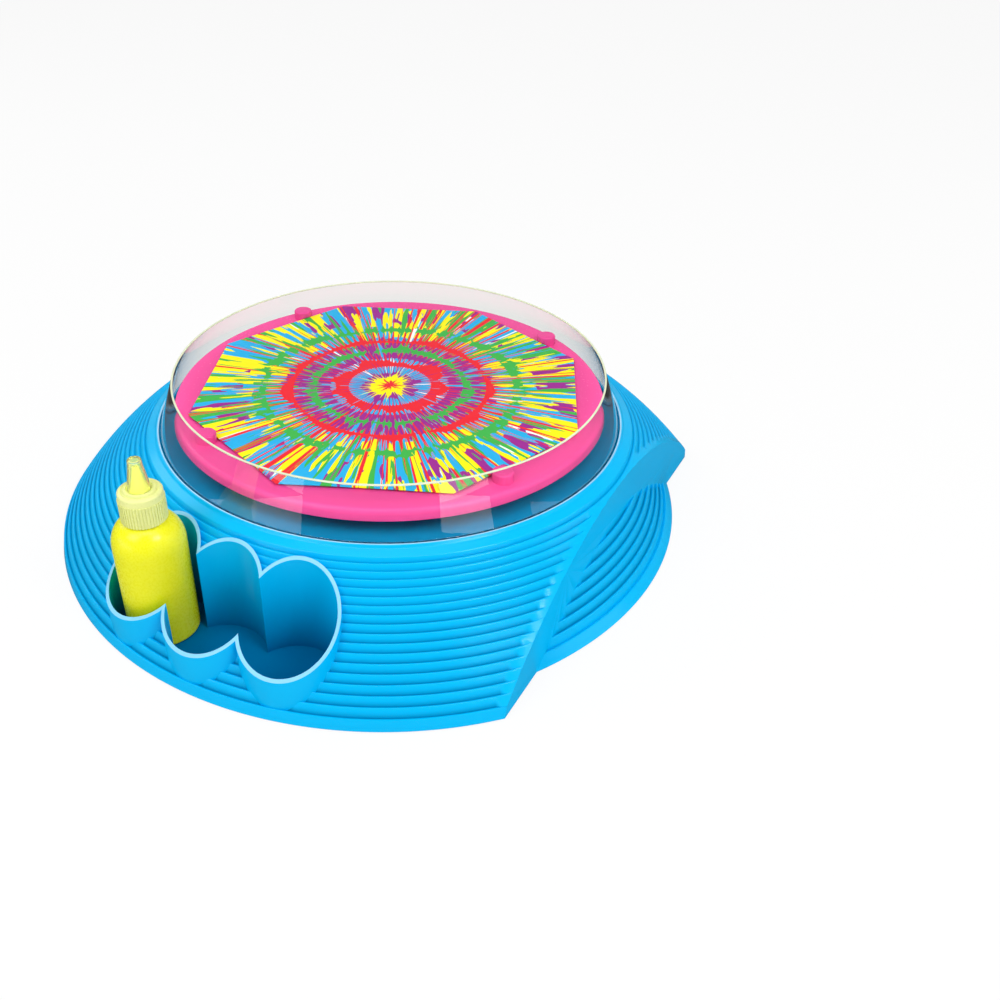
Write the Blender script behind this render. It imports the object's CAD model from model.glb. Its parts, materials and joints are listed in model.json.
"""Spin art machine: the look of every piece, built around its packed construction model.

The construction model gives each body, node and joint. Lengths here are millimetres until a helper
turns them into metres, heights are above the table, and every turned form stands about an upright axis.
"""

import json
import logging
import math
from collections.abc import Callable, Iterable, Iterator, Sequence
from contextlib import contextmanager
from dataclasses import dataclass, field
from enum import Enum

import bpy
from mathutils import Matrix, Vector

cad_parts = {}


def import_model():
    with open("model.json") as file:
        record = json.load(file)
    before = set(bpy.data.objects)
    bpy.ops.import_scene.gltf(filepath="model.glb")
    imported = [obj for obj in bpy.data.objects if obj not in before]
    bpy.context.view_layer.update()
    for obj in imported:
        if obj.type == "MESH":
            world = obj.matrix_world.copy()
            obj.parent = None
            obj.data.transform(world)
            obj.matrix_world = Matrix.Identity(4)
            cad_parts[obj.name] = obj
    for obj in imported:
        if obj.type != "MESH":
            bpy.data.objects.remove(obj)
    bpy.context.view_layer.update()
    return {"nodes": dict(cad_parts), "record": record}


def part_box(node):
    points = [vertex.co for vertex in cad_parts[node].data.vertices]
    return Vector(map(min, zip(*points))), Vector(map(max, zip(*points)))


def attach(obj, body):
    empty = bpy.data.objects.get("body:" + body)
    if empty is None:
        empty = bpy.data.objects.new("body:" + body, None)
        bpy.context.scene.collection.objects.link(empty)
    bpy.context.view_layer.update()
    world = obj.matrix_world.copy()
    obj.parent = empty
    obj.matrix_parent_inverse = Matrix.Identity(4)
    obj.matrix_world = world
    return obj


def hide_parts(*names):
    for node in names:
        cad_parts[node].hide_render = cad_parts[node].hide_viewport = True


LOG = logging.getLogger("spin_art_machine")
MM = 0.001
HOLLOW = "hollow"  # the mesh attribute that says how deep a point lies
MIX_FROM, MIX_TO, MIX_RESULT = 6, 7, 2  # colour sockets of a Mix node
WHITE = (1.0, 1.0, 1.0, 1.0)
SCATTER_SHARE = 0.35
SCATTER_RADIUS = (1.0, 0.9, 0.35)  # warm light goes further into the plastic than blue
MERGE = MM / 1000
SPIN_MERGE = MM / 200
OVERCUT = 1.0  # how far a cutting shape reaches past what it cuts
UPWARD = 0.5  # a face whose normal rises more than this looks up
SHARP_CORNER = math.radians(60)
CORNER_SHARE = 0.48  # the most of an edge that one rounding takes
Point = tuple[float, float]


# ------------------------------------------------------------------ colours and nodes


def linear(hex_colour: str) -> tuple[float, float, float, float]:
    """Turns an sRGB hex colour into a linear one.

    Args:
        hex_colour: six hex digits, such as "00b2f0".

    Returns:
        Red, green, blue and an alpha of one.
    """
    # the sRGB transfer curve, straight near black and a power above
    channels = [int(hex_colour[i:i + 2], 16) / 255 for i in (0, 2, 4)]
    red, green, blue = (c / 12.92 if c <= 0.04045 else ((c + 0.055) / 1.055) ** 2.4 for c in channels)
    return red, green, blue, 1.0


def add_node(tree: bpy.types.NodeTree, kind: str, inputs: dict | None = None, **settings) -> bpy.types.Node:
    """Adds one node with its settings and links.

    Args:
        tree: the node tree it goes into.
        kind: Blender's name for the node type.
        inputs: socket name or number, to a value or to the output socket that feeds it.
        settings: attributes of the node itself.

    Returns:
        The new node.
    """
    node = tree.nodes.new(kind)
    for name, value in settings.items():
        setattr(node, name, value)
    for key, value in (inputs or {}).items():
        if isinstance(value, bpy.types.NodeSocket):
            tree.links.new(value, node.inputs[key])
        else:
            node.inputs[key].default_value = value
    return node


def new_material(name: str) -> tuple[bpy.types.Material, bpy.types.NodeTree, bpy.types.NodeSocket]:
    """Makes an empty material.

    Args:
        name: the material's name.

    Returns:
        The material, its node tree, and the position on the piece in millimetres.
    """
    material = bpy.data.materials.new(name)
    material.use_nodes = True
    tree = material.node_tree
    tree.nodes.clear()
    place = add_node(tree, "ShaderNodeTexCoord").outputs["Object"]
    scaled = add_node(tree, "ShaderNodeVectorMath", {0: place, "Scale": 1 / MM}, operation="SCALE")
    return material, tree, scaled.outputs[0]


class Axis(Enum):
    """Direction in which a finish runs."""

    UP = (1.0, 1.0, 0.04)
    AROUND = (0.04, 0.04, 1.0)
    NONE = (1.0, 1.0, 1.0)


@dataclass(frozen=True)
class Moulded:
    """Opaque moulded or coated surface: an even colour, faint flow marks and a fine skin.

    With a hollow colour it also follows the mesh attribute: deeper in hollows, paler on thin edges.
    """

    name: str
    colour: str
    shade: str
    roughness: float = 0.28
    ior: float = 1.5
    metallic: float = 0.0
    flow_mm: float = 45.0
    skin_mm: float = 0.9
    skin_depth_mm: float = 0.004
    grain: Axis = Axis.NONE
    subsurface_mm: float = 0.0
    specular: float = 0.5
    hollow: str = ""
    edge: str = ""
    hollow_power: float = 1.8
    gloss_spread: float = 0.15
    skin_strength: float = 0.5

    def deepened(self, tree: bpy.types.NodeTree, colour: bpy.types.NodeSocket,
                 depth: bpy.types.NodeSocket) -> bpy.types.NodeSocket:
        """Deepens the colour where little light gets in, and pales it on thin edges.

        Args:
            tree: the material's node tree.
            colour: the even colour.
            depth: the mesh attribute.

        Returns:
            The colour that shows.
        """
        inward = add_node(tree, "ShaderNodeMath", {0: depth, 1: 0.0}, operation="MAXIMUM")
        steep = add_node(tree, "ShaderNodeMath", {0: inward.outputs[0], 1: self.hollow_power},
                         operation="POWER")
        dark = add_node(tree, "ShaderNodeMix", {0: steep.outputs[0], MIX_FROM: colour,
                                                MIX_TO: linear(self.hollow)}, data_type="RGBA")
        outward = add_node(tree, "ShaderNodeMath", {0: depth, 1: -1.0}, operation="MULTIPLY")
        pale = add_node(tree, "ShaderNodeMix", {0: outward.outputs[0], MIX_FROM: dark.outputs[MIX_RESULT],
                                                MIX_TO: linear(self.edge)}, data_type="RGBA")
        return pale.outputs[MIX_RESULT]

    def build(self) -> bpy.types.Material:
        """Makes the material."""
        material, tree, place = new_material(self.name)
        flow = add_node(tree, "ShaderNodeTexNoise",
                        {"Vector": place, "Scale": 1 / self.flow_mm, "Detail": 3.0})
        run = add_node(tree, "ShaderNodeVectorMath", {0: place, 1: self.grain.value}, operation="MULTIPLY")
        skin = add_node(tree, "ShaderNodeTexNoise",
                        {"Vector": run.outputs[0], "Scale": 1 / self.skin_mm, "Detail": 2.0})
        even = add_node(tree, "ShaderNodeMix", {0: flow.outputs[0], MIX_FROM: linear(self.colour),
                                                MIX_TO: linear(self.shade)}, data_type="RGBA")
        rough = add_node(tree, "ShaderNodeMapRange", {
            "Value": skin.outputs[0], "From Min": 0.3, "From Max": 0.7,
            "To Min": self.roughness * (1 - self.gloss_spread),
            "To Max": self.roughness * (1 + self.gloss_spread)})
        bump = add_node(tree, "ShaderNodeBump", {"Height": skin.outputs[0], "Strength": self.skin_strength,
                                                 "Distance": self.skin_depth_mm * MM})
        shader = add_node(tree, "ShaderNodeBsdfPrincipled", {
            "Base Color": even.outputs[MIX_RESULT], "Roughness": rough.outputs[0],
            "Normal": bump.outputs[0], "Metallic": self.metallic})
        if not self.metallic:
            shader.inputs["IOR"].default_value = self.ior
            shader.inputs["Specular IOR Level"].default_value = self.specular
        if self.hollow:
            depth = add_node(tree, "ShaderNodeAttribute", attribute_name=HOLLOW).outputs["Fac"]
            shown = self.deepened(tree, even.outputs[MIX_RESULT], depth)
            gloss = add_node(tree, "ShaderNodeMapRange",
                             {"Value": depth, "To Min": self.specular, "To Max": 0.0})
            tree.links.new(shown, shader.inputs["Base Color"])
            tree.links.new(gloss.outputs[0], shader.inputs["Specular IOR Level"])
        if self.subsurface_mm:
            shader.inputs["Subsurface Weight"].default_value = SCATTER_SHARE
            shader.inputs["Subsurface Radius"].default_value = SCATTER_RADIUS
            shader.inputs["Subsurface Scale"].default_value = self.subsurface_mm * MM
        add_node(tree, "ShaderNodeOutputMaterial", {"Surface": shader.outputs[0]})
        return material


@dataclass(frozen=True)
class Clear:
    """See-through moulded plastic that lets lamplight through to what is behind it."""

    name: str
    tint: str
    roughness: float = 0.02
    ior: float = 1.5
    milk: float = 0.0
    specular: float = 0.5
    skin_mm: float = 6.0
    skin_depth_mm: float = 0.01
    skin_strength: float = 0.3
    gloss_spread: float = 0.3

    def build(self) -> bpy.types.Material:
        """Makes the material."""
        material, tree, place = new_material(self.name)
        skin = add_node(tree, "ShaderNodeTexNoise",
                        {"Vector": place, "Scale": 1 / self.skin_mm, "Detail": 1.0})
        bump = add_node(tree, "ShaderNodeBump", {"Height": skin.outputs[0], "Strength": self.skin_strength,
                                                 "Distance": self.skin_depth_mm * MM})
        rough = add_node(tree, "ShaderNodeMapRange", {
            "Value": skin.outputs[0], "To Min": self.roughness * (1 - self.gloss_spread),
            "To Max": self.roughness * (1 + self.gloss_spread)})
        shader = add_node(tree, "ShaderNodeBsdfPrincipled", {
            "Base Color": linear(self.tint), "Roughness": rough.outputs[0], "Normal": bump.outputs[0],
            "IOR": self.ior, "Transmission Weight": 1 - self.milk, "Specular IOR Level": self.specular})
        ray = add_node(tree, "ShaderNodeLightPath")
        open_shader = add_node(tree, "ShaderNodeBsdfTransparent", {"Color": linear(self.tint)})
        share = add_node(tree, "ShaderNodeMath", {0: ray.outputs["Is Shadow Ray"], 1: 1 - self.milk},
                         operation="MULTIPLY")
        both = add_node(tree, "ShaderNodeMixShader", {0: share.outputs[0], 1: shader.outputs[0],
                                                      2: open_shader.outputs[0]})
        add_node(tree, "ShaderNodeOutputMaterial", {"Surface": both.outputs[0]})
        return material


@dataclass(frozen=True)
class PaintThrow:
    """One colour of spun paint: a ring with spikes thrown outwards, broken up by slits and blots.

    Attributes:
        colour: the paint.
        inner: radius where the ring starts, in millimetres.
        outer: radius where it ends before it wanders.
        throw: how far the spikes reach beyond the outer radius.
        spikes: how many there are in a full turn.
        pull: how far the spikes reach in from the inner radius.
        cover: share of the ring that the blots leave bare, or nought for an unbroken ring.
        streaks: how fine the blots are around the card.
        rings: how fine they are from the middle outwards, for each millimetre.
        seed: shifts this colour's pattern against the others.
        sharp: how slender the spikes are.
    """

    colour: str
    inner: float
    outer: float
    throw: float = 0.0
    spikes: int = 40
    pull: float = 0.0
    cover: float = 0.0
    streaks: float = 10.0
    rings: float = 0.06
    seed: float = 0.0
    sharp: float = 2.2


@dataclass(frozen=True)
class SpunPaint:
    """Coated card with paint that spinning has thrown into rings, drops and long spikes."""

    name: str
    board: str
    throws: tuple[PaintThrow, ...]
    wobble_scale: float = 2.6
    reach_scale: float = 7.0
    bend: float = 9.0
    wander: float = 16.0
    seed_lean: float = 0.7
    wet_scale: float = 0.12

    def build(self) -> bpy.types.Material:
        """Makes the material."""
        material, tree, place = new_material(self.name)
        split = add_node(tree, "ShaderNodeSeparateXYZ", {0: place})
        flat = add_node(tree, "ShaderNodeCombineXYZ",
                        {0: split.outputs[0], 1: split.outputs[1]}).outputs[0]
        radius = add_node(tree, "ShaderNodeVectorMath", {0: flat}, operation="LENGTH").outputs["Value"]
        around = add_node(tree, "ShaderNodeVectorMath", {0: flat}, operation="NORMALIZE").outputs[0]
        angle = add_node(tree, "ShaderNodeMath", {0: split.outputs[1], 1: split.outputs[0]},
                         operation="ARCTAN2").outputs[0]
        colour = linear(self.board)
        for throw in self.throws:
            mask = self.mask(tree, throw, radius, around, angle)
            mixed = add_node(tree, "ShaderNodeMix", {0: mask, MIX_FROM: colour,
                                                     MIX_TO: linear(throw.colour)}, data_type="RGBA")
            colour = mixed.outputs[MIX_RESULT]
        wet = add_node(tree, "ShaderNodeTexNoise",
                       {"Vector": place, "Scale": self.wet_scale, "Detail": 2.0})
        rough = add_node(tree, "ShaderNodeMapRange",
                         {"Value": wet.outputs[0], "To Min": 0.3, "To Max": 0.6})
        shader = add_node(tree, "ShaderNodeBsdfPrincipled", {
            "Base Color": colour, "Roughness": rough.outputs[0], "IOR": 1.5, "Specular IOR Level": 0.3})
        add_node(tree, "ShaderNodeOutputMaterial", {"Surface": shader.outputs[0]})
        return material

    def mask(self, tree: bpy.types.NodeTree, throw: PaintThrow, radius: bpy.types.NodeSocket,
             around: bpy.types.NodeSocket, angle: bpy.types.NodeSocket) -> bpy.types.NodeSocket:
        """Makes where one colour lies.

        Args:
            tree: the card's node tree.
            throw: the colour's own sizes.
            radius: distance from the middle in millimetres.
            around: the unit vector from the middle.
            angle: the angle about the middle.

        Returns:
            One where the paint is and nought elsewhere.
        """
        seeded = add_node(tree, "ShaderNodeVectorMath",
                          {0: around, 1: (throw.seed, throw.seed * self.seed_lean, 0.0)},
                          operation="ADD").outputs[0]
        wobble = add_node(tree, "ShaderNodeTexNoise",
                          {"Vector": seeded, "Scale": self.wobble_scale, "Detail": 2.0}).outputs[0]
        turn = add_node(tree, "ShaderNodeMath", {0: angle, 1: throw.spikes / 2, 2: throw.seed},
                        operation="MULTIPLY_ADD").outputs[0]
        bent = add_node(tree, "ShaderNodeMath", {0: wobble, 1: self.bend, 2: turn},
                        operation="MULTIPLY_ADD").outputs[0]
        wave = add_node(tree, "ShaderNodeMath", {0: bent}, operation="SINE").outputs[0]
        even = add_node(tree, "ShaderNodeMath", {0: wave}, operation="ABSOLUTE").outputs[0]
        spike = add_node(tree, "ShaderNodeMath", {0: 1.0, 1: even}, operation="SUBTRACT").outputs[0]
        slender = add_node(tree, "ShaderNodeMath", {0: spike, 1: throw.sharp},
                           operation="POWER").outputs[0]
        reach = add_node(tree, "ShaderNodeTexNoise",
                         {"Vector": seeded, "Scale": self.reach_scale, "Detail": 3.0}).outputs[0]
        long = add_node(tree, "ShaderNodeMapRange", {"Value": reach, "From Min": 0.3, "From Max": 0.75,
                                                     "To Min": 0.15, "To Max": 1.0}).outputs[0]
        length = add_node(tree, "ShaderNodeMath", {0: slender, 1: long}, operation="MULTIPLY").outputs[0]
        edge = add_node(tree, "ShaderNodeMath",
                        {0: wobble, 1: self.wander, 2: throw.outer - self.wander / 2},
                        operation="MULTIPLY_ADD").outputs[0]
        outer = add_node(tree, "ShaderNodeMath", {0: length, 1: throw.throw, 2: edge},
                         operation="MULTIPLY_ADD").outputs[0]
        inner = add_node(tree, "ShaderNodeMath", {0: length, 1: -throw.pull, 2: throw.inner},
                         operation="MULTIPLY_ADD").outputs[0]
        below = add_node(tree, "ShaderNodeMath", {0: radius, 1: outer}, operation="LESS_THAN").outputs[0]
        above = add_node(tree, "ShaderNodeMath", {0: radius, 1: inner},
                         operation="GREATER_THAN").outputs[0]
        mask = add_node(tree, "ShaderNodeMath", {0: below, 1: above}, operation="MULTIPLY").outputs[0]
        if throw.cover <= 0:
            return mask
        fine = add_node(tree, "ShaderNodeVectorMath", {0: seeded, "Scale": throw.streaks},
                        operation="SCALE").outputs[0]
        depth = add_node(tree, "ShaderNodeMath", {0: radius, 1: throw.rings},
                         operation="MULTIPLY").outputs[0]
        lift = add_node(tree, "ShaderNodeCombineXYZ", {2: depth}).outputs[0]
        spot = add_node(tree, "ShaderNodeVectorMath", {0: fine, 1: lift}, operation="ADD").outputs[0]
        blot = add_node(tree, "ShaderNodeTexNoise",
                        {"Vector": spot, "Scale": 1.0, "Detail": 2.0}).outputs[0]
        kept = add_node(tree, "ShaderNodeMath", {0: blot, 1: throw.cover},
                        operation="GREATER_THAN").outputs[0]
        return add_node(tree, "ShaderNodeMath", {0: mask, 1: kept}, operation="MULTIPLY").outputs[0]


# ------------------------------------------------------------------ modelling


def deselect() -> None:
    """Leaves nothing selected."""
    for piece in bpy.context.selected_objects:
        piece.select_set(False)


def only(piece: bpy.types.Object) -> bpy.types.Object:
    """Selects one piece and makes it the active one."""
    deselect()
    piece.select_set(True)
    bpy.context.view_layer.objects.active = piece
    return piece


class Pick(Enum):
    """What edit mode works on."""

    VERTICES = (True, False, False)
    FACES = (False, False, True)


@contextmanager
def editing(piece: bpy.types.Object, pick: Pick = Pick.VERTICES) -> Iterator[None]:
    """Holds a piece in edit mode."""
    only(piece)
    bpy.context.tool_settings.mesh_select_mode = pick.value
    bpy.ops.object.mode_set(mode="EDIT")
    try:
        yield
    finally:
        bpy.ops.object.mode_set(mode="OBJECT")


def named(name: str) -> bpy.types.Object:
    """Names the primitive just added and puts its place into its mesh."""
    piece = only(bpy.context.active_object)
    piece.name = name
    bpy.ops.object.transform_apply(location=True, rotation=True, scale=True)
    return piece


def at(radius: float, azimuth: float, height: float = 0.0) -> Vector:
    """Point at a radius and azimuth about the machine's axis, in metres."""
    angle = math.radians(azimuth)
    return Vector((radius * math.cos(angle), radius * math.sin(angle), height)) * MM


def softened(corners: Sequence[tuple[float, ...]], steps: int = 4) -> list[Point]:
    """Rounds the corners of an outline.

    Args:
        corners: (radius, height) or (radius, height, rounding) of each corner.
        steps: edges in each rounding.

    Returns:
        The outline's points.
    """
    points: list[Point] = []
    for i, corner in enumerate(corners):
        here = Vector(corner[:2])
        rounding = corner[2] if len(corner) > 2 else 0.0
        if not rounding or i in (0, len(corners) - 1):
            points.append((here.x, here.y))
            continue
        back = Vector(corners[i - 1][:2]) - here
        on = Vector(corners[i + 1][:2]) - here
        half = back.angle(on) / 2
        cut = min(rounding / math.tan(half), CORNER_SHARE * back.length, CORNER_SHARE * on.length)
        start, end = here + back.normalized() * cut, here + on.normalized() * cut
        for step in range(steps + 1):
            share = step / steps
            near = start.lerp(here, share).lerp(here.lerp(end, share), share)
            points.append((near.x, near.y))
    return points


def turned(name: str, outline: Sequence[Point], steps: int, centre: Vector = Vector()) -> bpy.types.Object:
    """Draws an outline by extruding one vertex from point to point, and spins it.

    Args:
        name: the piece's name.
        outline: (radius, height) points. A ring's outline comes back to its first point.
        steps: sides of the full turn.
        centre: a point on the upright axis.

    Returns:
        A closed solid of revolution.
    """
    bpy.ops.mesh.primitive_plane_add(size=MM, location=(0, 0, 0))
    piece = named(name)
    spots = [Vector((r * MM, 0, z * MM)) + Vector((centre.x, centre.y, 0)) for r, z in outline]
    with editing(piece):
        bpy.ops.mesh.select_all(action="SELECT")
        bpy.ops.mesh.merge(type="CENTER")
        bpy.ops.transform.translate(value=spots[0])
        for here, there in zip(spots, spots[1:]):
            bpy.ops.mesh.extrude_region_move(TRANSFORM_OT_translate={"value": there - here})
        bpy.ops.mesh.select_all(action="SELECT")
        bpy.ops.mesh.remove_doubles(threshold=MERGE)
        bpy.ops.mesh.select_all(action="SELECT")
        bpy.ops.mesh.spin(steps=steps, angle=math.tau, center=(centre.x, centre.y, 0), axis=(0, 0, 1))
        bpy.ops.mesh.select_all(action="SELECT")
        bpy.ops.mesh.remove_doubles(threshold=SPIN_MERGE)
        bpy.ops.mesh.normals_make_consistent(inside=False)
    return piece


def column(name: str, centre: Vector, radius: float, low: float, high: float,
           sides: int) -> bpy.types.Object:
    """Upright round column between two heights."""
    place = (centre.x, centre.y, (low + high) / 2 * MM)
    bpy.ops.mesh.primitive_cylinder_add(vertices=sides, radius=radius * MM, depth=(high - low) * MM,
                                        location=place)
    return named(name)


def block(name: str, size: Sequence[float], centre: Sequence[float], turn: float = 0.0) -> bpy.types.Object:
    """Box of a size about a centre, turned about the upright axis through its own centre."""
    bpy.ops.mesh.primitive_cube_add(size=1.0, location=[c * MM for c in centre],
                                    rotation=(0, 0, math.radians(turn)))
    piece = bpy.context.active_object
    piece.scale = [s * MM for s in size]
    return named(name)


def modify(piece: bpy.types.Object, kind: str, **settings) -> bpy.types.Object:
    """Adds a modifier with its settings and applies it."""
    modifier = piece.modifiers.new(kind.lower(), kind)
    for name, value in settings.items():
        setattr(modifier, name, value)
    only(piece)
    bpy.ops.object.modifier_apply(modifier=modifier.name)
    return piece


def carve(piece: bpy.types.Object, tools: Iterable[bpy.types.Object], operation: str) -> bpy.types.Object:
    """Joins tools to a piece or cuts them out of it, one after another, and removes them.

    Args:
        piece: what is changed.
        tools: closed shapes.
        operation: UNION, DIFFERENCE or INTERSECT.

    Returns:
        The piece.
    """
    for tool in tools:
        modify(piece, "BOOLEAN", operation=operation, object=tool, solver="MANIFOLD")
        bpy.data.objects.remove(tool)
    return piece


def halved(piece: bpy.types.Object, point: Vector, normal: Vector, keep_outside: bool) -> bpy.types.Object:
    """Cuts a piece by a plane, closes the cut, and keeps one side."""
    with editing(piece):
        bpy.ops.mesh.select_all(action="SELECT")
        bpy.ops.mesh.bisect(plane_co=point, plane_no=normal, use_fill=True, clear_inner=keep_outside,
                            clear_outer=not keep_outside)
        bpy.ops.mesh.select_all(action="SELECT")
        bpy.ops.mesh.remove_doubles(threshold=MERGE)
    return piece


def select_faces(piece: bpy.types.Object, test: Callable[[bpy.types.MeshPolygon], bool]) -> int:
    """Selects the faces that pass a test, ready for edit mode.

    Args:
        piece: the piece in object mode.
        test: says whether a face is wanted.

    Returns:
        How many were selected.
    """
    mesh = piece.data
    for vertex in mesh.vertices:
        vertex.select = False
    for edge in mesh.edges:
        edge.select = False
    count = 0
    for face in mesh.polygons:
        face.select = test(face)
        count += face.select
    return count


def smooth(piece: bpy.types.Object, angle: float) -> bpy.types.Object:
    """Shades a piece smooth, with edges sharper than an angle kept crisp."""
    only(piece)
    bpy.ops.object.shade_smooth_by_angle(angle=math.radians(angle))
    return piece


def store_hollow(piece: bpy.types.Object, hollow_at: Callable[[Vector, Vector], float]) -> None:
    """Stores on each face's corners how deep they lie.

    Args:
        piece: the finished mesh.
        hollow_at: from a point and its face's normal, one in a hollow, nought in the open and
            below nought on a thin edge.
    """
    layer = piece.data.attributes.new(HOLLOW, "FLOAT", "CORNER")
    for face in piece.data.polygons:
        for corner in face.loop_indices:
            place = piece.data.vertices[piece.data.loops[corner].vertex_index].co
            layer.data[corner].value = hollow_at(place, face.normal)


def dress(piece: bpy.types.Object, material: bpy.types.Material, body: str,
          nodes: Sequence[str] = ()) -> bpy.types.Object:
    """Gives a piece its material, its body and the nodes it stands for.

    Args:
        piece: the finished piece.
        material: what covers it.
        body: the body that it moves with.
        nodes: construction nodes that it replaces.

    Returns:
        The piece.
    """
    piece.data.materials.clear()
    piece.data.materials.append(material)
    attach(piece, body)
    if nodes:
        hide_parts(*nodes)
    LOG.info("%s: %d faces, rides on %s", piece.name, len(piece.data.polygons), body)
    return piece


# ------------------------------------------------------------------ the pieces


@dataclass
class Caddy:
    """Three bottle cups that open into each other, with a rim that slopes with the dome."""

    circle: float = 127.6
    azimuths: tuple[float, ...] = (-133.73, -119.55, -105.37)
    outer: float = 19.2
    wall: float = 1.25
    floor: float = 2.0
    passage: float = 10.4
    rim_radius: float = 110.8
    rim_height: float = 43.5
    rim_slope: float = 0.70
    rim_round: float = 0.5
    crest: float = 0.2
    crest_shade: float = -0.45
    slack: float = 0.1
    headroom: float = 10.0
    cut_reach: tuple[float, float] = (30.0, 60.0)
    cut_top: float = 90.0
    cut_sides: int = 720
    sides: int = 160

    def centres(self) -> list[Vector]:
        """Centres of the three cups."""
        return [at(self.circle, azimuth) for azimuth in self.azimuths]

    def cups(self, radius: float, low: float, high: float) -> list[bpy.types.Object]:
        """The three cups as columns."""
        return [column("cup", centre, radius, low, high, self.sides) for centre in self.centres()]

    def bridges(self, low: float, high: float) -> list[bpy.types.Object]:
        """Blocks that open each cup into the next."""
        blocks = []
        for first, second in zip(self.centres(), self.centres()[1:]):
            middle = (first + second) / 2 / MM
            along = second - first
            turn = math.degrees(math.atan2(along.y, along.x))
            blocks.append(block("passage", (along.length / MM, self.passage, high - low),
                                (middle.x, middle.y, (low + high) / 2), turn))
        return blocks

    def build(self, material: bpy.types.Material) -> bpy.types.Object:
        """Models the caddy.

        Args:
            material: the moulding's plastic.

        Returns:
            The finished piece.
        """
        low, _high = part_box("bottle_caddy")
        top = self.rim_height + self.headroom
        outside = self.cups(self.outer, low.z / MM, top)
        body = carve(outside[0], outside[1:], "UNION")
        inside = self.cups(self.outer - self.wall, self.floor, top + OVERCUT)
        room = carve(inside[0], inside[1:] + self.bridges(self.floor, top + OVERCUT), "UNION")
        carve(body, [room], "DIFFERENCE")
        near, far = self.rim_radius - self.cut_reach[0], self.rim_radius + self.cut_reach[1]
        sky = [(near, self.rim_at(near)), (far, self.rim_at(far)), (far, self.cut_top), (near, self.cut_top)]
        carve(body, [turned("above_rim", sky + sky[:1], self.cut_sides)], "DIFFERENCE")
        body.name = "caddy"
        modify(body, "BEVEL", width=self.rim_round * MM, segments=4, limit_method="ANGLE",
               angle_limit=math.radians(50), use_clamp_overlap=True, harden_normals=False)
        smooth(body, 40)
        store_hollow(body, self.hollow_at)
        return dress(body, material, "base", ["bottle_caddy"])

    def hollow_at(self, place: Vector, normal: Vector) -> float:
        """How far down in a cup a point lies; below nought on the rim's crest."""
        rim = self.rim_at(place.to_2d().length / MM)
        under = rim - place.z / MM
        if under < self.crest and normal.z > UPWARD:
            return self.crest_shade
        near = min((place.to_2d() - centre.to_2d()).length for centre in self.centres()) / MM
        if near > self.outer - self.wall + self.slack or place.z / MM < self.floor - self.slack:
            return 0.0
        return min(under / (rim - self.floor), 1.0)

    def rim_at(self, radius: float) -> float:
        """Height of the rim at a distance from the machine's axis."""
        return self.rim_height - self.rim_slope * (radius - self.rim_radius)


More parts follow.
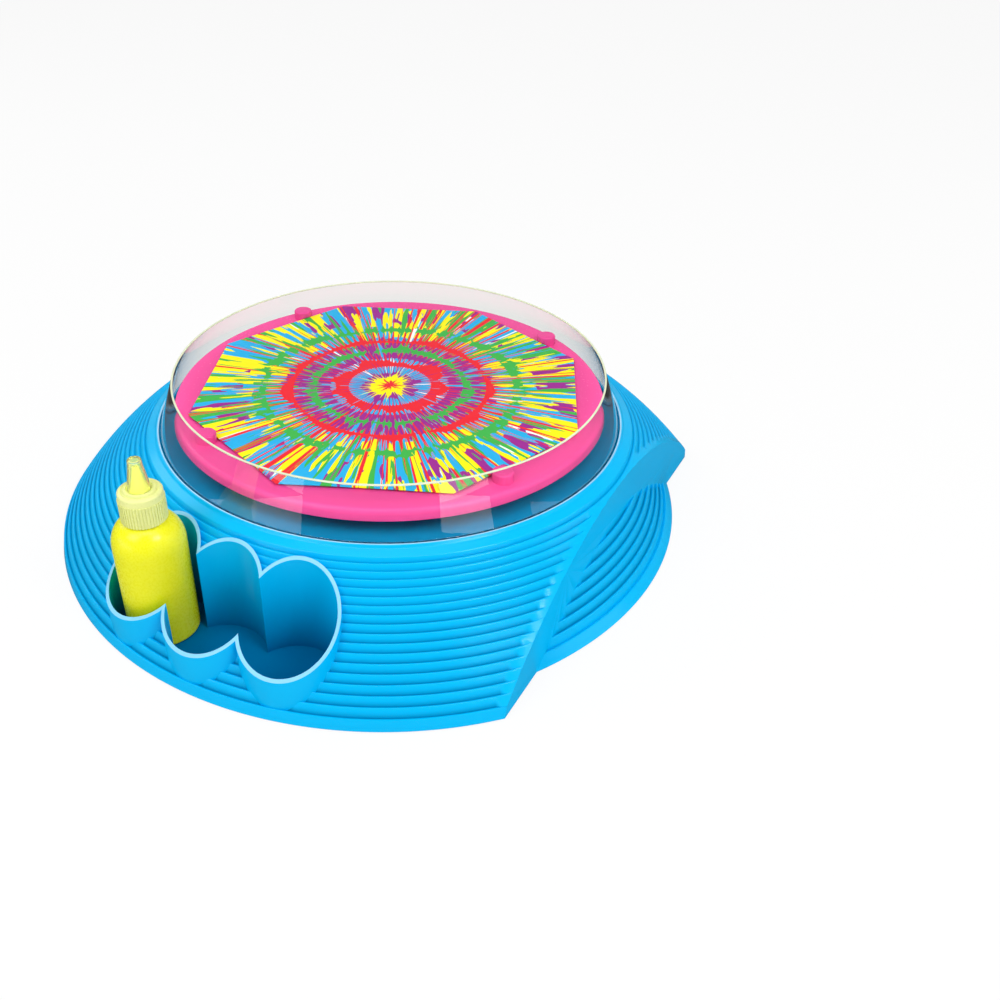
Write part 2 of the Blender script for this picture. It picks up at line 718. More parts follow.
@dataclass
class Housing:
    """Ribbed dome with a flat-walled recess, a second small dome in it, and the guard's seat."""

    caddy: Caddy
    rib_low: Point = (147.3, 5.9)
    rib_top: Point = (107.7, 44.2)
    rib_bulge: float = 2.18
    rib_count: int = 16
    groove: float = 1.05
    groove_drop: float = 0.6
    rib_round: float = 0.55
    groove_shade: float = 0.8
    lip_outer: float = 101.7
    lip_inner: float = 100.5
    lip_top: float = 47.9
    seat: float = 47.2
    seat_inner: float = 97.9
    deck: float = 46.3
    wall: float = 2.2
    hub_radius: float = 9.0
    hub_top: float = 50.6
    bore: float = 4.5
    recess_azimuth: float = -30.0
    recess_wall: float = 108.5
    recess_border: float = 1.9
    recess_fade: float = 1.4
    pad_shift: float = 24.0
    pad_foot: float = 152.0
    pad_rim: float = 5.0
    pad_slope: float = 0.70
    pad_ribs: int = 8
    pad_rise: float = 3.35
    pad_room: float = 14.0
    window_size: tuple[float, float, float] = (34.2, 15.2, 40.0)
    window_radius: float = 133.0
    window_tilt: float = 44.0
    room_inset: float = 1.1
    room_sides: int = 96
    pad_overlap: float = 0.6
    cup_overlap: float = 0.05
    deck_shade: float = 0.9
    lip_shade: float = -0.8
    lip_margin: float = 0.35
    lip_crest: float = 0.3
    shade_from: float = 0.7
    shade_run: float = 0.9
    sides: int = 384

    def rib_height(self, radius: float) -> float:
        """Height of the arc that the ribs' tips lie on."""
        half_r = (self.rib_low[0] - self.rib_top[0]) / 2
        half_z = (self.rib_top[1] - self.rib_low[1]) / 2
        half = math.hypot(half_r, half_z)
        bend = (half ** 2 + self.rib_bulge ** 2) / (2 * self.rib_bulge)
        depth = (bend - self.rib_bulge) / half
        middle_r = (self.rib_low[0] + self.rib_top[0]) / 2
        middle_z = (self.rib_low[1] + self.rib_top[1]) / 2
        return middle_z - half_r * depth + math.sqrt(bend ** 2 - (radius - middle_r + half_z * depth) ** 2)

    def bands(self, tips: Sequence[Point]) -> list[tuple[float, ...]]:
        """Corners of the ribs: each rises to a rounded tip and drops into the next groove."""
        corners: list[tuple[float, ...]] = []
        for tip in tips:
            corners += [(*tip, self.rib_round), (tip[0] - self.groove, tip[1] - self.groove_drop)]
        return corners

    def shoulder(self) -> list[Point]:
        """From the last groove over the shoulder and the lip to the deck and the hub."""
        # radius, height and rounding of each corner, taken from the sizes nearest to it
        return softened([
            (self.rib_top[0] - self.groove, self.rib_top[1] - self.groove_drop),
            (self.rib_top[0] - 1.9, self.rib_top[1] + 1.3, 1.0),
            (self.lip_outer + 0.6, self.lip_top - 0.9, 2.0),
            (self.lip_outer - 0.1, self.lip_top, 0.4),
            (self.lip_inner, self.lip_top, 0.25),
            (self.lip_inner, self.seat),
            (self.seat_inner, self.seat, 0.2),
            (self.seat_inner, self.deck, 0.3),
            (self.hub_radius + 0.6, self.deck, 0.8),
            (self.hub_radius, self.hub_top, 0.4),
            (self.bore, self.hub_top),
            (self.bore, self.deck - self.wall),
            (0.0, self.deck - self.wall),
        ])

    def dome(self, bottom: float, foot_radius: float) -> bpy.types.Object:
        """Full dome whose ribs fade into a plain border beside the recess."""
        pitch = (self.rib_low[0] - self.rib_top[0]) / self.rib_count
        radii = [self.rib_low[0] - i * pitch for i in range(self.rib_count + 1)]
        tips = [(radius, self.rib_height(radius)) for radius in radii]
        outline = softened([(0.0, bottom), (foot_radius, bottom, 0.3), *self.bands(tips)])
        outline += self.shoulder()[1:]
        ribbed = turned("housing", outline, self.sides)
        plain = [(0.0, bottom), (foot_radius, bottom), *tips, *self.shoulder()[1:]]
        cover = turned("plain_dome", plain, self.sides)
        group = ribbed.vertex_groups.new(name="border")
        outward = at(1.0, self.recess_azimuth) / MM
        start = self.recess_wall - self.recess_border - self.recess_fade
        for vertex in ribbed.data.vertices:
            beyond = (vertex.co.dot(outward) / MM - start) / self.recess_fade
            share = min(max(beyond, 0.0), 1.0)
            from_axis = vertex.co.to_2d().length / MM
            if share > 0 and vertex.co.z > 3.0 * MM and from_axis > self.rib_top[0] + 0.2:
                group.add([vertex.index], share * share * (3 - 2 * share), "REPLACE")
        modify(ribbed, "SHRINKWRAP", target=cover, wrap_method="NEAREST_SURFACEPOINT",
               vertex_group="border")
        bpy.data.objects.remove(cover)
        return halved(ribbed, at(self.recess_wall, self.recess_azimuth), outward, False)

    def pad_centre(self) -> Vector:
        """Axis of the recess's own dome."""
        return at(-self.pad_shift, self.recess_azimuth)

    def pad(self, bottom: float) -> bpy.types.Object:
        """The smaller ribbed dome in the foot of the recess."""
        heights = [self.pad_rim + i * self.pad_rise for i in range(self.pad_ribs + 1)]
        tips = [(self.pad_foot - self.pad_slope * height, height) for height in heights]
        outline = softened([(0.0, bottom), (self.pad_foot, bottom, 0.3), *self.bands(tips),
                            (0.0, heights[-1])])
        pad = turned("pad", outline, self.sides, self.pad_centre())
        outward = at(1.0, self.recess_azimuth) / MM
        return halved(pad, at(self.recess_wall - self.pad_overlap, self.recess_azimuth), outward, True)

    def rooms(self, bottom: float) -> list[bpy.types.Object]:
        """What is hollow under the two domes."""
        inset = self.wall + self.room_inset
        outward = at(1.0, self.recess_azimuth) / MM
        foot = bottom - OVERCUT
        low_radius = self.rib_low[0] - inset
        under = self.deck - self.wall
        room = turned("room", [(0.0, foot), (low_radius, foot), (low_radius, self.rib_low[1]),
                               (self.seat_inner, under), (0.0, under)], self.room_sides)
        halved(room, at(self.recess_wall - self.wall, self.recess_azimuth), outward, False)
        pad_low = self.pad_foot - self.pad_slope * self.pad_rim - inset
        top = (self.pad_foot - self.pad_shift - self.recess_wall) / self.pad_slope - inset
        pad_high = self.pad_foot - self.pad_slope * top - inset
        pad_room = turned("pad_room", [(0.0, foot), (pad_low, foot), (pad_low, self.pad_rim),
                                       (pad_high, top), (0.0, top)], self.room_sides, self.pad_centre())
        halved(pad_room, at(self.recess_wall - self.pad_room, self.recess_azimuth), outward, True)
        return [room, pad_room]

    def window(self) -> bpy.types.Object:
        """Opening for the switch plate, square to the dome's slope at the back."""
        place = at(self.window_radius, 90.0, self.rib_height(self.window_radius))
        bpy.ops.mesh.primitive_cube_add(size=1.0, location=place,
                                        rotation=(math.radians(self.window_tilt - 90), 0, 0))
        bpy.context.active_object.scale = [size * MM for size in self.window_size]
        return named("window")

    def build(self, material: bpy.types.Material) -> bpy.types.Object:
        """Models the housing.

        Args:
            material: the moulding's plastic.

        Returns:
            The finished piece.
        """
        low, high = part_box("housing_shell")
        bottom = low.z / MM
        body = self.dome(bottom, high.y / MM)
        carve(body, [self.pad(bottom)], "UNION")
        carve(body, self.rooms(bottom), "DIFFERENCE")
        tools = self.caddy.cups(self.caddy.outer - self.cup_overlap, bottom - OVERCUT,
                                self.caddy.rim_height + self.caddy.headroom)
        carve(body, tools + [self.window()], "DIFFERENCE")
        smooth(body, 38)
        store_hollow(body, self.hollow_at)
        return dress(body, material, "base", ["housing_shell"])

    def hollow_at(self, place: Vector, _normal: Vector) -> float:
        """One on the deck and in the ribs' grooves, below nought on the lip's crest."""
        radius, height = place.to_2d().length / MM, place.z / MM
        if radius < self.lip_inner + self.lip_margin:
            on_lip = height > self.lip_top - self.lip_crest and radius > self.seat_inner
            return self.lip_shade if on_lip else self.deck_shade
        beyond = place.dot(at(1.0, self.recess_azimuth)) / MM ** 2 - self.recess_wall
        plain = radius < self.rib_top[0] - self.groove - 0.2 or height < self.pad_rim - 0.5
        if plain or abs(beyond) < 0.3:  # the shoulder, the foot's edge and the recess's flat wall
            return 0.0
        if beyond < 0:
            under = self.rib_height(radius) - height
        else:
            pad_radius = (place - self.pad_centre()).to_2d().length / MM
            under = (self.pad_foot - pad_radius) / self.pad_slope - height
        share = min(max((under - self.shade_from) / self.shade_run, 0.0), 1.0)
        return self.groove_shade * share


@dataclass
class Card:
    """The eight-sided card and the outline that its platform and clips follow."""

    side: float = 80.6
    turn: float = -5.5
    edge: float = 0.12

    def octagon(self, name: str, grow: float, low: float, high: float) -> bpy.types.Object:
        """Eight-sided slab between two heights, grown all round."""
        corner = (self.side + grow) / math.cos(math.pi / 8)
        bpy.ops.mesh.primitive_cylinder_add(vertices=8, radius=corner * MM, depth=(high - low) * MM,
                                            location=(0, 0, (low + high) / 2 * MM),
                                            rotation=(0, 0, math.radians(22.5 + self.turn)))
        return named(name)

    def build(self, material: bpy.types.Material) -> bpy.types.Object:
        """Models the card.

        Args:
            material: the painted board.

        Returns:
            The finished piece.
        """
        low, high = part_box("art_card")
        card = self.octagon("card", 0.0, low.z / MM, high.z / MM)
        modify(card, "BEVEL", width=self.edge * MM, segments=2, limit_method="ANGLE",
               angle_limit=SHARP_CORNER)
        return dress(card, material, "turntable", ["art_card"])


@dataclass
class Turntable:
    """Disc with a rounded rim, a raised platform for the card and four clips."""

    card: Card
    radius: float = 93.0
    top: float = 57.4
    bottom: float = 52.4
    edge: float = 2.6
    skin: float = 1.9
    hub: float = 8.0
    hub_bottom: float = 52.0
    platform_inset: float = 2.0
    platform_top: float = 58.2
    platform_edge: float = 0.25
    peg_circle: float = 85.2
    peg_azimuth: float = 31.5
    peg_radius: float = 4.2
    peg_top: float = 61.4
    slot: float = 0.9
    slot_grow: float = 0.3
    sides: int = 256

    def build(self, material: bpy.types.Material) -> list[bpy.types.Object]:
        """Models the disc and the clips.

        Args:
            material: the moulding's plastic.

        Returns:
            The finished pieces.
        """
        inside = self.top - self.skin
        outline = softened([
            (0.0, self.hub_bottom), (self.hub, self.hub_bottom, 0.4), (self.hub, inside, 0.6),
            (self.radius - self.skin, inside, 0.8), (self.radius - self.skin, self.bottom, 0.4),
            (self.radius, self.bottom, 0.5), (self.radius, self.top, self.edge), (0.0, self.top)], 8)
        disc = turned("turntable", outline, self.sides)
        platform = self.card.octagon("platform", -self.platform_inset, self.top - 0.5, self.platform_top)
        modify(platform, "BEVEL", width=self.platform_edge * MM, segments=2, limit_method="ANGLE",
               angle_limit=SHARP_CORNER)
        carve(disc, [platform], "UNION")
        smooth(disc, 30)
        dress(disc, material, "turntable", ["turntable_disc"])
        pegs = self.pegs()
        dress(pegs, material, "turntable", ["card_pegs"])
        return [disc, pegs]

    def pegs(self) -> bpy.types.Object:
        """Four round clips, each with a slot for the card's edge."""
        outline = softened([
            (0.0, self.top - 0.6), (self.peg_radius, self.top - 0.6), (self.peg_radius, self.peg_top, 0.8),
            (0.0, self.peg_top)], 5)
        peg = turned("card_clips", outline, 64, at(self.peg_circle, self.peg_azimuth))
        foot = self.platform_top - 0.1
        slot = self.card.octagon("slot", self.slot_grow, foot, foot + self.slot)
        carve(peg, [slot], "DIFFERENCE")
        clips = [peg]
        for quarter in (1, 2, 3):
            twin = peg.copy()
            twin.data = peg.data.copy()
            bpy.context.collection.objects.link(twin)
            twin.rotation_euler = (0, 0, math.pi / 2 * quarter)
            clips.append(twin)
        deselect()
        for clip in clips:
            clip.select_set(True)
        bpy.context.view_layer.objects.active = peg
        bpy.ops.object.transform_apply(location=True, rotation=True, scale=True)
        bpy.ops.object.join()
        return smooth(peg, 35)


@dataclass
class SplashGuard:
    """Clear ring that leans inwards and lifts off its seat, with a thin glowing lip at its rim."""

    foot: float = 100.2
    rim: float = 92.8
    wall: float = 1.7
    rim_wall: float = 0.8
    lip: float = 0.5
    gap: float = 0.03
    sides: int = 256

    def build(self, clear: bpy.types.Material, milky: bpy.types.Material) -> list[bpy.types.Object]:
        """Models the guard.

        Args:
            clear: the wall's plastic.
            milky: the same plastic where the cut edge gathers light.

        Returns:
            The finished pieces.
        """
        low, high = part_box("splash_guard")
        bottom, top = low.z / MM, high.z / MM
        middle = self.foot - self.wall / 2
        inner = self.rim - self.rim_wall
        step = top - self.lip
        outline = softened([
            (middle, bottom), (self.foot, bottom, 0.3), (self.rim, step - self.gap),
            (inner, step - self.gap), (self.foot - self.wall, bottom, 0.3), (middle, bottom)])
        wall = dress(smooth(turned("splash_wall", outline, self.sides), 50), clear, "splash_guard",
                     ["splash_guard"])
        centre = (self.rim + inner) / 2
        lip = softened([(centre, step), (self.rim, step), (self.rim, top, 0.3), (inner, top, 0.3),
                        (inner, step), (centre, step)])
        rim = dress(smooth(turned("splash_rim", lip, self.sides), 50), milky, "splash_guard")
        return [wall, rim]


@dataclass
class PaintBottle:
    """Squeeze bottle with its ribbed screw cap, spout and clear overcap."""

    radius: float = 13.8
    shoulder: float = 11.0
    shoulder_run: float = 1.6
    neck: float = 7.0
    wall: float = 1.0
    cap_radius: float = 8.6
    cap_height: float = 12.2
    rib_count: int = 48
    rib_depth: float = 0.35
    spout_low: float = 3.1
    spout_top: float = 1.2
    bore: float = 0.7
    over_low: float = 4.4
    over_top: float = 2.6
    over_wall: float = 0.7
    sides: int = 128

    def centre(self) -> Vector:
        """The bottle's axis."""
        low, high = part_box("bottle_body")
        return Vector(((low.x + high.x) / 2, (low.y + high.y) / 2, 0))

    def round_shoulder(self, head: float, inset: float, steps: int = 14) -> list[Point]:
        """Quarter oval from the straight body in to the neck."""
        wide = self.radius - self.neck + self.shoulder_run
        last = math.acos(self.shoulder_run / wide)
        foot = head - self.shoulder * math.sin(last)
        points = []
        for step in range(steps + 1):
            angle = last * step / steps
            points.append((self.neck - self.shoulder_run - inset + wide * math.cos(angle),
                           foot + self.shoulder * math.sin(angle)))
        return points

    def flask(self, material: bpy.types.Material) -> bpy.types.Object:
        """Models the bottle itself."""
        low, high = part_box("bottle_body")
        base, top = low.z / MM, high.z / MM
        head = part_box("bottle_cap")[0].z / MM
        w = self.wall
        outline = softened([
            (0.0, base + 0.6), (self.radius - 4.0, base + 0.6, 1.5), (self.radius - 3.0, base, 0.8),
            (self.radius, base, 1.8), *self.round_shoulder(head - 0.3, 0.0),
            (self.neck, head - 0.3), (self.neck, top, 0.3), (self.neck - w, top, 0.3),
            *reversed(self.round_shoulder(head - 1.2, w)),
            (self.radius - w, base + 1.6, 1.0), (0.0, base + 1.6)], 8)
        flask = turned("paint_bottle", outline, self.sides, self.centre())
        smooth(flask, 40)
        return dress(flask, material, "paint_bottle", ["bottle_body"])

    def cap(self, material: bpy.types.Material) -> bpy.types.Object:
        """Models the cap: a skirt with fine ribs, a stepped crown and the spout."""
        low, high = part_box("bottle_cap")
        base, tip = low.z / MM, high.z / MM
        top = base + self.cap_height
        skirt = self.cap_radius - self.rib_depth
        rib_top = top - 3.4
        outline = softened([
            (self.neck + 0.05, base), (skirt, base), (skirt, base + 0.3), (skirt, rib_top),
            (skirt, rib_top + 0.3), (skirt, top - 0.6, 0.8), (self.over_low + 2.6, top, 0.4),
            (self.over_low + 2.2, top - 0.5, 0.2), (self.over_low + 1.7, top - 0.5, 0.2),
            (self.over_low + 1.4, top + 0.6, 0.3), (self.over_low + 0.4, top + 0.6, 0.2),
            (self.over_low + 0.3, top), (self.spout_low, top, 0.6), (self.spout_top, tip, 0.4),
            (self.bore, tip), (self.bore, top - 1.6), (self.neck + 0.05, top - 1.6),
            (self.neck + 0.05, base)], 4)
        cap = turned("screw_cap", outline, 2 * self.rib_count, self.centre())
        axis = self.centre()

        def is_rib(face: bpy.types.MeshPolygon) -> bool:
            """True on every second face of the skirt's ribbed band."""
            away = Vector((face.center.x, face.center.y, 0)) - axis
            if abs(face.normal.z) > 0.1 or away.dot(face.normal) < 0 or away.length < (skirt - 0.3) * MM:
                return False
            if not base * MM < face.center.z < (rib_top + 0.01) * MM:
                return False
            turns = math.atan2(away.y, away.x) / math.tau
            return int(turns * 2 * self.rib_count + 2 * self.rib_count) % 2 == 0

        LOG.info("cap ribs: %d faces", select_faces(cap, is_rib))
        with editing(cap, Pick.FACES):
            bpy.ops.mesh.extrude_region_shrink_fatten(
                TRANSFORM_OT_shrink_fatten={"value": self.rib_depth * MM})
        smooth(cap, 40)
        return dress(cap, material, "bottle_cap", ["bottle_cap"])

    def overcap(self, material: bpy.types.Material) -> bpy.types.Object:
        """Models the clear cone over the spout."""
        low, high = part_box("nozzle_cap")
        base, top = low.z / MM, high.z / MM
        w = self.over_wall
        outline = softened([
            (self.over_low - w, base), (self.over_low, base, 0.15), (self.over_top + 0.15, top - 2.6, 3.0),
            (self.over_top - 0.1, top, 0.7), (0.0, top), (0.0, top - 1.2),
            (self.over_top - w, top - 1.2, 0.4), (self.over_low - w, base)], 6)
        cone = turned("nozzle_cone", outline, 96, self.centre())
        smooth(cone, 50)
        return dress(cone, material, "nozzle_cap", ["nozzle_cap"])


# ------------------------------------------------------------------ finishes


@dataclass
class Finishes:
    """Every material, by the record's slot."""

    made: dict[str, bpy.types.Material] = field(default_factory=dict)

    def build(self) -> dict[str, bpy.types.Material]:
        """Makes the materials."""
        kinds = {
            # glossy ABS, injection moulded: an even bright blue with soft highlights along each rib
            "blue_abs": Moulded("blue_moulded_abs", "00b9f2", "00b4ee", 0.22, 1.46, specular=0.2,
                                hollow="006596", edge="c4eaff"),
            # glossy ABS in pink
            "pink_abs": Moulded("pink_moulded_abs", "ea4d98", "e84793", 0.24, 1.46, specular=0.3,
                                skin_depth_mm=0.001),
            # general purpose styrene, polished mould: nearly invisible but for its edges and reflections
            "clear_ps": Clear("clear_moulded_styrene", "fdfefb", 0.012, 1.5, specular=0.25),
            # the same styrene at its rim: light gathers in the wall and leaves at the cut edge
            "milky_ps": Clear("edge_lit_styrene", "eaf2d2", 0.2, 1.2, milk=0.9),
            # squeezed low density polyethylene: satin, and light goes a little way in
            "yellow_ldpe": Moulded("yellow_blown_polyethylene", "f3f018", "efee16", 0.28, 1.5,
                                   subsurface_mm=2.0, skin_depth_mm=0.0008),
            # liquid paint: wet and even
            "yellow_paint": Moulded("yellow_liquid_paint", "e8e52a", "e2de20", 0.12, 1.4),
            # opaque satin polypropylene in pale yellow
            "natural_pp": Moulded("natural_moulded_polypropylene", "eef1a6", "e9ed94", 0.3, 1.49,
                                  skin_depth_mm=0.0006),
            # clear polypropylene, a little cloudy and yellow
            "clear_pp": Clear("clear_moulded_polypropylene", "f7f8c0", 0.05, 1.25, milk=0.15),
            # rubber: dull, with a coarse skin
            "black_rubber": Moulded("black_moulded_rubber", "1c1c1d", "141415", 0.75, 1.5, skin_mm=0.35,
                                    skin_depth_mm=0.03),
            # zinc plating: grey metal with small cloudy patches
            "zinc_steel": Moulded("zinc_plated_steel", "b9bcbf", "a9adb2", 0.32, metallic=1.0, flow_mm=3.0),
            # ground and drawn steel: brighter, with fine lines along the axis
            "bright_steel": Moulded("ground_steel", "c4c6c9", "b9bcc0", 0.2, metallic=1.0, skin_mm=0.3,
                                    grain=Axis.UP),
            "motor_steel": Moulded("drawn_steel", "b4b8bc", "a6abb0", 0.3, metallic=1.0, grain=Axis.UP),
            # gear and bush plastics: off-white and satin, the acetal with a little depth
            "white_nylon": Moulded("white_moulded_nylon", "e6e4dc", "dedcd2", 0.45, 1.53),
            "pom_white": Moulded("white_moulded_acetal", "ecebe6", "e4e3dd", 0.35, 1.48, subsurface_mm=1.0),
            # turned brass: warm, with turning lines around the axis
            "brass": Moulded("turned_brass", "d8b76a", "cfab5c", 0.22, metallic=1.0, grain=Axis.AROUND),
            # sintered bronze: brown, dull and grainy
            "bronze": Moulded("sintered_bronze", "a97c4c", "8f6639", 0.5, metallic=1.0, skin_mm=0.3,
                              skin_depth_mm=0.02),
            # nickel plated strip: pale and the most mirror-like of the metals
            "spring_steel": Moulded("nickel_plated_strip", "cfd0cc", "c3c4c0", 0.18, metallic=1.0),
            # a cell's shrunk sleeve: plain dark film with a soft gloss
            "cell_jacket": Moulded("shrink_sleeve", "2b2f33", "24282c", 0.25, 1.5),
            # black nylon: satin, with nearly no colour of its own
            "black_plastic": Moulded("black_moulded_nylon", "1b1c1e", "161719", 0.42, 1.53),
            # coated card with spun paint: flat bright colours in rings, drops and spikes
            "card_stock": SpunPaint("spun_paint_on_card", "fbfbf8", (
                PaintThrow("1fb0e8", 9, 120, 0, cover=0.34, streaks=16, rings=0.012, seed=1.3),
                PaintThrow("fff200", 48, 120, 0, pull=10, spikes=30, cover=0.53, streaks=13,
                           rings=0.018, seed=8.4),
                PaintThrow("9b2390", 26, 44, 8, spikes=70, pull=6, cover=0.4, streaks=14, rings=0.05,
                           seed=2.2),
                PaintThrow("9b2390", 64, 120, 0, pull=6, spikes=44, cover=0.57, streaks=13,
                           rings=0.035, seed=5.8),
                PaintThrow("3db54a", 40, 120, 0, pull=6, spikes=36, cover=0.56, streaks=22, rings=0.02,
                           seed=5.1),
                PaintThrow("ee2030", 30, 120, 0, pull=6, spikes=36, cover=0.6, streaks=38, rings=0.008,
                           seed=3.3),
                PaintThrow("ee2030", 42, 45, 36, spikes=120, pull=10, sharp=2.6, seed=3.7),
                PaintThrow("3db54a", 54, 58, 8, spikes=90, pull=6, cover=0.42, streaks=20, rings=0.12,
                           seed=6.3),
                PaintThrow("fff200", 60, 120, 0, pull=6, spikes=40, cover=0.61, streaks=18, rings=0.03,
                           seed=2.9),
                PaintThrow("ee2030", 18, 24, 18, spikes=84, pull=7, cover=0.3, streaks=16, rings=0.05,
                           seed=7.1),
                PaintThrow("3db54a", 32, 35, 8, spikes=76, pull=6, cover=0.4, streaks=14, rings=0.12,
                           seed=4.4),
                PaintThrow("9b2390", 0, 12, 18, spikes=64, sharp=2.6, seed=4.9),
                PaintThrow("fff200", 0, 8, 10, spikes=34, sharp=2.6, seed=9.6),
                PaintThrow("ee2030", 0, 3, 4, spikes=12, seed=7.7))),
        }
        for slot, kind in kinds.items():
            self.made[slot] = kind.build()
        return self.made


def cover_nodes(frame: dict, made: dict[str, bpy.types.Material]) -> None:
    """Gives each construction node that still shows the material of its slot.

    Args:
        frame: the loaded frame.
        made: materials by slot.
    """
    for part in frame["record"]["subparts"]:
        node = frame["nodes"][part["node"]]
        node.data.materials.clear()
        node.data.materials.append(made[part["material_slot"]])


# ------------------------------------------------------------------ studio


def seen_straight(tree: bpy.types.NodeTree, ray: bpy.types.Node) -> bpy.types.NodeSocket:
    """One for rays from the camera, also through clear plastic, but not by way of a reflection."""
    direct = add_node(tree, "ShaderNodeMath", {0: ray.outputs["Glossy Depth"], 1: 0.5},
                      operation="LESS_THAN")
    through = add_node(tree, "ShaderNodeMath",
                       {0: ray.outputs["Is Transmission Ray"], 1: direct.outputs[0]},
                       operation="MULTIPLY")
    return add_node(tree, "ShaderNodeMath", {0: ray.outputs["Is Camera Ray"], 1: through.outputs[0]},
                    operation="MAXIMUM").outputs[0]


@dataclass(frozen=True)
class Lamp:
    """Soft lamp that faces the machine: where it stands, its width and height in metres, its watts."""

    name: str
    azimuth: float
    elevation: float
    distance: float
    size: Point
    power: float

    def build(self, target: Vector) -> None:
        """Places the lamp.

        Args:
            target: the point it faces.
        """
        light = bpy.data.lights.new(self.name, "AREA")
        light.shape = "RECTANGLE"
        light.size, light.size_y = self.size
        light.energy = self.power
        lamp = bpy.data.objects.new(self.name, light)
        up = math.sin(math.radians(self.elevation)) * self.distance
        flat = math.cos(math.radians(self.elevation)) * self.distance
        lamp.location = at(flat / MM, self.azimuth, up / MM)
        lamp.rotation_euler = (target - lamp.location).to_track_quat("-Z", "Y").to_euler()
        bpy.context.scene.collection.objects.link(lamp)


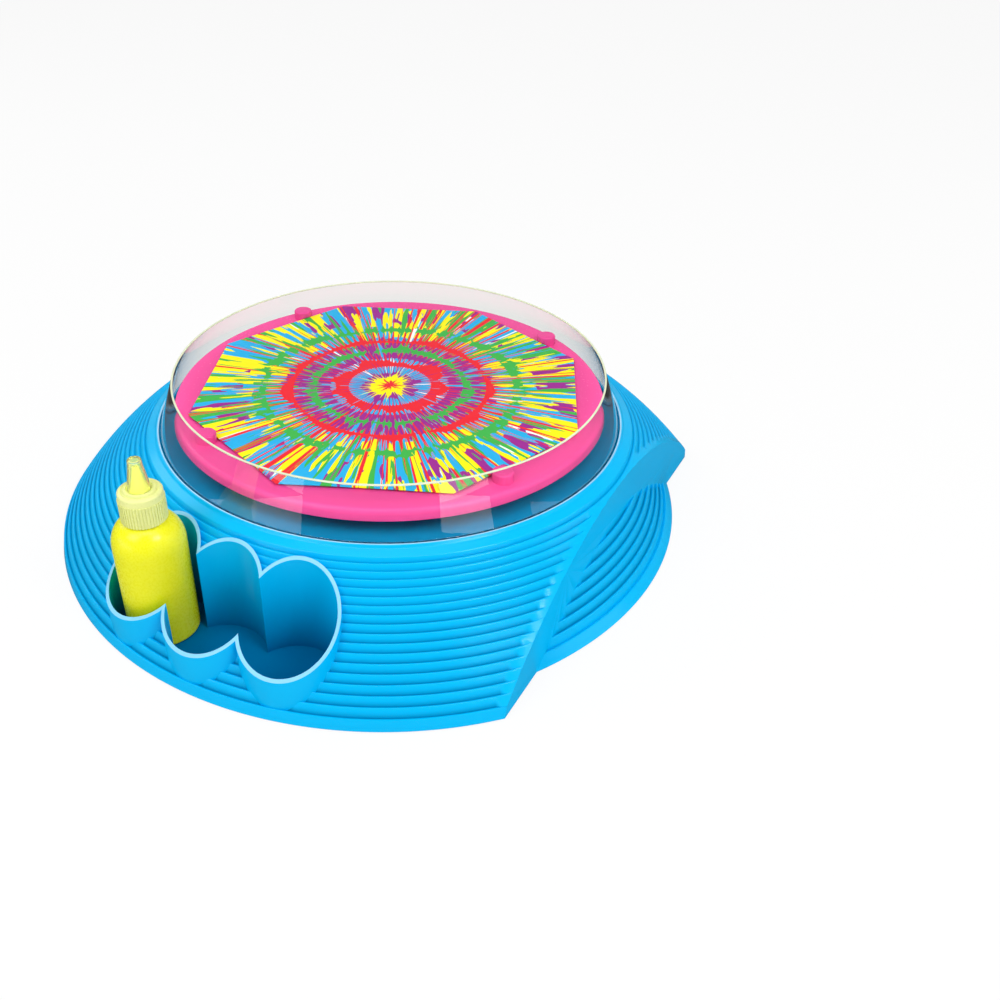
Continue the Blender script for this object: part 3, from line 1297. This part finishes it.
@dataclass
class Studio:
    """Pale floor, soft lamps and the camera."""

    camera_place: tuple[float, float, float] = (13.16, -397.7, 272.5)
    look_down: float = 35.65
    focal_px: float = 1025.0
    image_px: float = 1000.0
    centre_px: Point = (420.0, 518.0)
    floor_size: float = 12.0
    floor_tone: str = "f4f4f4"
    mirrored_tone: str = "585858"
    floor_glow: float = 0.9
    surroundings: float = 0.36
    backdrop_from: float = 0.2
    backdrop_to: float = 0.9
    room_glow: float = 0.08
    backdrop_glow: float = 0.5
    target_height: float = 0.03
    lamps: tuple[Lamp, ...] = (
        Lamp("key", -48, 44, 1.3, (0.4, 0.4), 5.7),
        Lamp("fill", -140, 46, 1.3, (0.6, 0.6), 4.2),
        Lamp("rim", 150, 35, 1.3, (0.5, 0.5), 2.1),
        Lamp("top", -90, 84, 1.2, (0.9, 0.9), 2.2),
        Lamp("strip", -90, 72, 1.2, (0.8, 0.03), 1.6),
        Lamp("side", -12, 18, 1.3, (0.6, 0.6), 1.4),
        Lamp("left_window", -152, 8, 1.0, (0.9, 0.14), 0.9),
        Lamp("right_window", -56, 8, 1.0, (0.4, 0.12), 0.4),
    )

    def camera(self) -> None:
        """Places the camera."""
        lens = bpy.data.cameras.new("camera")
        lens.sensor_width = 36.0
        lens.lens = self.focal_px / self.image_px * lens.sensor_width
        lens.shift_x = (self.image_px / 2 - self.centre_px[0]) / self.image_px
        lens.shift_y = (self.centre_px[1] - self.image_px / 2) / self.image_px
        lens.clip_start, lens.clip_end = 0.01, 50.0
        camera = bpy.data.objects.new("camera", lens)
        camera.location = Vector(self.camera_place) * MM
        camera.rotation_euler = (math.radians(90 - self.look_down), 0, 0)
        bpy.context.scene.collection.objects.link(camera)
        bpy.context.scene.camera = camera

    def floor(self) -> None:
        """White floor that keeps the machine's shadow, and is clear from below."""
        deselect()
        bpy.ops.mesh.primitive_plane_add(size=self.floor_size, location=(0, 0, 0))
        plane = named("floor")
        material, tree, _place = new_material("white_paper")
        ray = add_node(tree, "ShaderNodeLightPath")
        tone = add_node(tree, "ShaderNodeMix", {
            0: ray.outputs["Is Glossy Ray"], MIX_FROM: linear(self.floor_tone),
            MIX_TO: linear(self.mirrored_tone)}, data_type="RGBA")
        paper = add_node(tree, "ShaderNodeBsdfDiffuse", {"Color": tone.outputs[MIX_RESULT]})
        glow = add_node(tree, "ShaderNodeEmission", {"Color": WHITE, "Strength": 1.0})
        seen = seen_straight(tree, ray)
        share = add_node(tree, "ShaderNodeMath", {0: seen, 1: self.floor_glow}, operation="MULTIPLY")
        both = add_node(tree, "ShaderNodeMixShader", {0: share.outputs[0], 1: paper.outputs[0],
                                                      2: glow.outputs[0]})
        under = add_node(tree, "ShaderNodeNewGeometry").outputs["Backfacing"]
        open_shader = add_node(tree, "ShaderNodeBsdfTransparent")
        one_sided = add_node(tree, "ShaderNodeMixShader", {0: under, 1: both.outputs[0],
                                                           2: open_shader.outputs[0]})
        add_node(tree, "ShaderNodeOutputMaterial", {"Surface": one_sided.outputs[0]})
        plane.data.materials.append(material)

    def world(self) -> None:
        """White surroundings where they are seen; what reflects is a white backdrop and a dim room."""
        world = bpy.data.worlds.new("studio")
        bpy.context.scene.world = world
        world.use_nodes = True
        tree = world.node_tree
        tree.nodes.clear()
        ray = add_node(tree, "ShaderNodeLightPath")
        seen = seen_straight(tree, ray)
        direction = add_node(tree, "ShaderNodeTexCoord").outputs[0]
        towards = add_node(tree, "ShaderNodeSeparateXYZ", {0: direction})
        backdrop = add_node(tree, "ShaderNodeMapRange", {
            "Value": towards.outputs[1], "From Min": self.backdrop_from, "From Max": self.backdrop_to,
            "To Min": self.room_glow, "To Max": self.backdrop_glow})
        around = add_node(tree, "ShaderNodeMix", {0: ray.outputs["Is Glossy Ray"], 2: self.surroundings,
                                                  3: backdrop.outputs[0]}, data_type="FLOAT")
        strength = add_node(tree, "ShaderNodeMix", {0: seen, 2: around.outputs[0], 3: 1.0},
                            data_type="FLOAT")
        glow = add_node(tree, "ShaderNodeBackground", {"Color": WHITE, "Strength": strength.outputs[0]})
        add_node(tree, "ShaderNodeOutputWorld", {"Surface": glow.outputs[0]})

    def build(self) -> None:
        """Sets up everything round the machine."""
        scene = bpy.context.scene
        scene.view_settings.view_transform = "Standard"
        self.camera()
        self.floor()
        self.world()
        for lamp in self.lamps:
            lamp.build(Vector((0, 0, self.target_height)))


def main() -> None:
    """Builds the machine piece by piece."""
    logging.basicConfig(level=logging.INFO, format="%(message)s")
    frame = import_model()
    deselect()
    Studio().build()
    made = Finishes().build()
    cover_nodes(frame, made)
    caddy = Caddy()
    caddy.build(made["blue_abs"])
    Housing(caddy).build(made["blue_abs"])
    card = Card()
    card.build(made["card_stock"])
    Turntable(card).build(made["pink_abs"])
    SplashGuard().build(made["clear_ps"], made["milky_ps"])
    bottle = PaintBottle()
    bottle.flask(made["yellow_ldpe"])
    bottle.cap(made["natural_pp"])
    bottle.overcap(made["clear_pp"])


if __name__ == "__main__":
    main()
